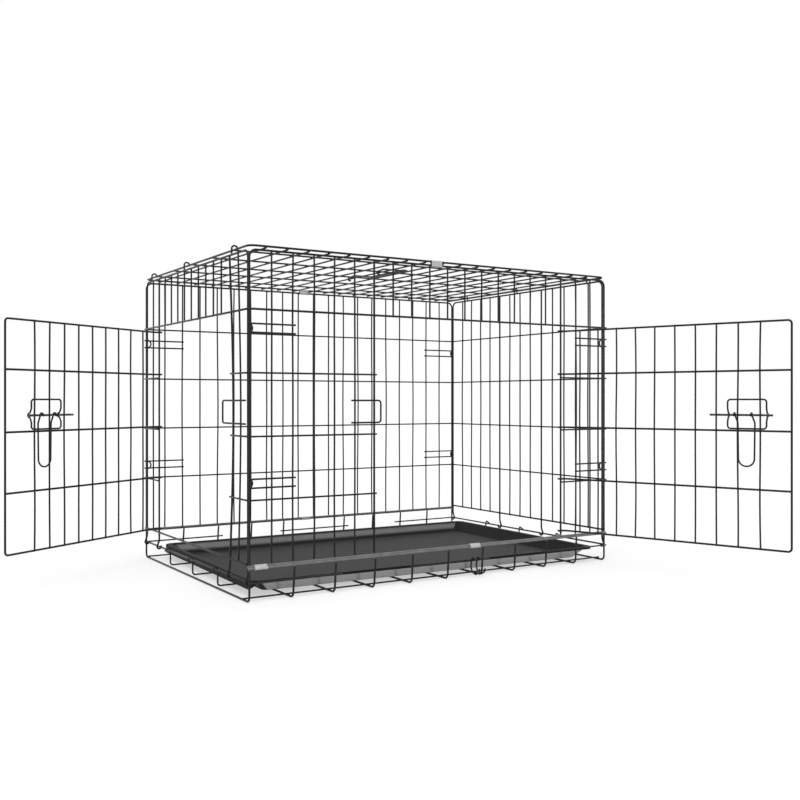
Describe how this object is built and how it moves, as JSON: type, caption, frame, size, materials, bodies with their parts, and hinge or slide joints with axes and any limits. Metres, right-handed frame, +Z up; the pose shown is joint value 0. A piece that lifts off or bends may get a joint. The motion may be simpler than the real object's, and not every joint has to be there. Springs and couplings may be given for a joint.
{
  "type": "wire pet cage",
  "caption": "Folding wire pet cage with hinged front and end doors, slide-bolt latches, a lift-out plastic tray and a carry handle on the roof.",
  "frame": {"origin": "centre of the footprint, on the underside of the middle floor wire, where the cage stands", "axes": "+X right along the long front wall, +Y from the front wall to the back wall, +Z up"},
  "size_m": [1.1142, 0.9361, 0.572],
  "materials": {
    "black_wire": "satin black electro-coat on steel wire",
    "sleeve_steel": "bright zinc-plated crimped sheet",
    "tray_plastic": "fine-textured black moulded sheet",
    "handle_plastic": "satin black moulding"
  },
  "bodies": {
    "cage": {"base_frame": "black_wire", "front_panel": "black_wire", "back_panel": "black_wire", "left_end_panel": "black_wire", "roof_panel": "black_wire", "front_keeper": "black_wire", "left_keeper": "black_wire", "tray": "tray_plastic", "roof_sleeve_front": "sleeve_steel", "roof_sleeve_back": "sleeve_steel", "base_sleeve_front_left": "sleeve_steel", "base_sleeve_front_right": "sleeve_steel", "base_sleeve_back": "sleeve_steel"},
    "right_end": {"right_end_panel": "black_wire"},
    "front_door": {"front_door": "black_wire", "front_bolt_bracket": "black_wire"},
    "front_bolt": {"front_bolt": "black_wire"},
    "front_pull": {"front_bolt_handle": "black_wire"},
    "left_door": {"left_door": "black_wire", "left_bolt_bracket": "black_wire"},
    "left_bolt": {"left_bolt": "black_wire"},
    "left_pull": {"left_bolt_handle": "black_wire"},
    "carry_handle": {"carry_handle": "handle_plastic"},
    "tray_hook_left": {"tray_hook_left": "black_wire"},
    "tray_hook_right": {"tray_hook_right": "black_wire"}
  },
  "joints": [
    {"name": "front_door_hinge", "type": "hinge", "parent": "cage", "child": "front_door", "pos_m": [0.266, -0.2625, 0.26], "axis": [0, 0, 1], "range_deg": [-109.06, 40.94]},
    {"name": "front_bolt_slide", "type": "slide", "parent": "front_door", "child": "front_bolt", "axis": [0.3266, -0.9452, 0], "range_m": [0, 0.014]},
    {"name": "front_pull_swing", "type": "hinge", "parent": "front_bolt", "child": "front_pull", "pos_m": [0.39156, -0.59101, 0.2945], "axis": [0.3266, -0.9452, 0], "range_deg": [0, 120]},
    {"name": "left_door_hinge", "type": "hinge", "parent": "cage", "child": "left_door", "pos_m": [-0.38, 0.18107, 0.26], "axis": [0, 0, -1], "range_deg": [-57.46, 92.54]},
    {"name": "left_bolt_slide", "type": "slide", "parent": "left_door", "child": "left_bolt", "axis": [-0.843, -0.5379, 0], "range_m": [0, 0.015]},
    {"name": "left_pull_swing", "type": "hinge", "parent": "left_bolt", "child": "left_pull", "pos_m": [-0.62272, 0.03973, 0.2945], "axis": [0.843, 0.5379, 0], "range_deg": [0, 120]},
    {"name": "carry_handle_swing", "type": "hinge", "parent": "cage", "child": "carry_handle", "pos_m": [-0.04864, -0.04875, 0.5615], "axis": [0, -1, 0], "range_deg": [0, 140]},
    {"name": "right_end_fold", "type": "hinge", "parent": "cage", "child": "right_end", "pos_m": [0.38, 0, 0.0325], "axis": [0, -1, 0], "range_deg": [0, 88]},
    {"name": "tray_hook_left_swing", "type": "hinge", "parent": "cage", "child": "tray_hook_left", "pos_m": [0.0494, -0.2654, 0.0315], "axis": [-1, 0, 0], "range_deg": [-10, 80]},
    {"name": "tray_hook_right_swing", "type": "hinge", "parent": "cage", "child": "tray_hook_right", "pos_m": [0.06156, -0.2654, 0.0315], "axis": [-1, 0, 0], "range_deg": [-10, 80]}
  ]
}
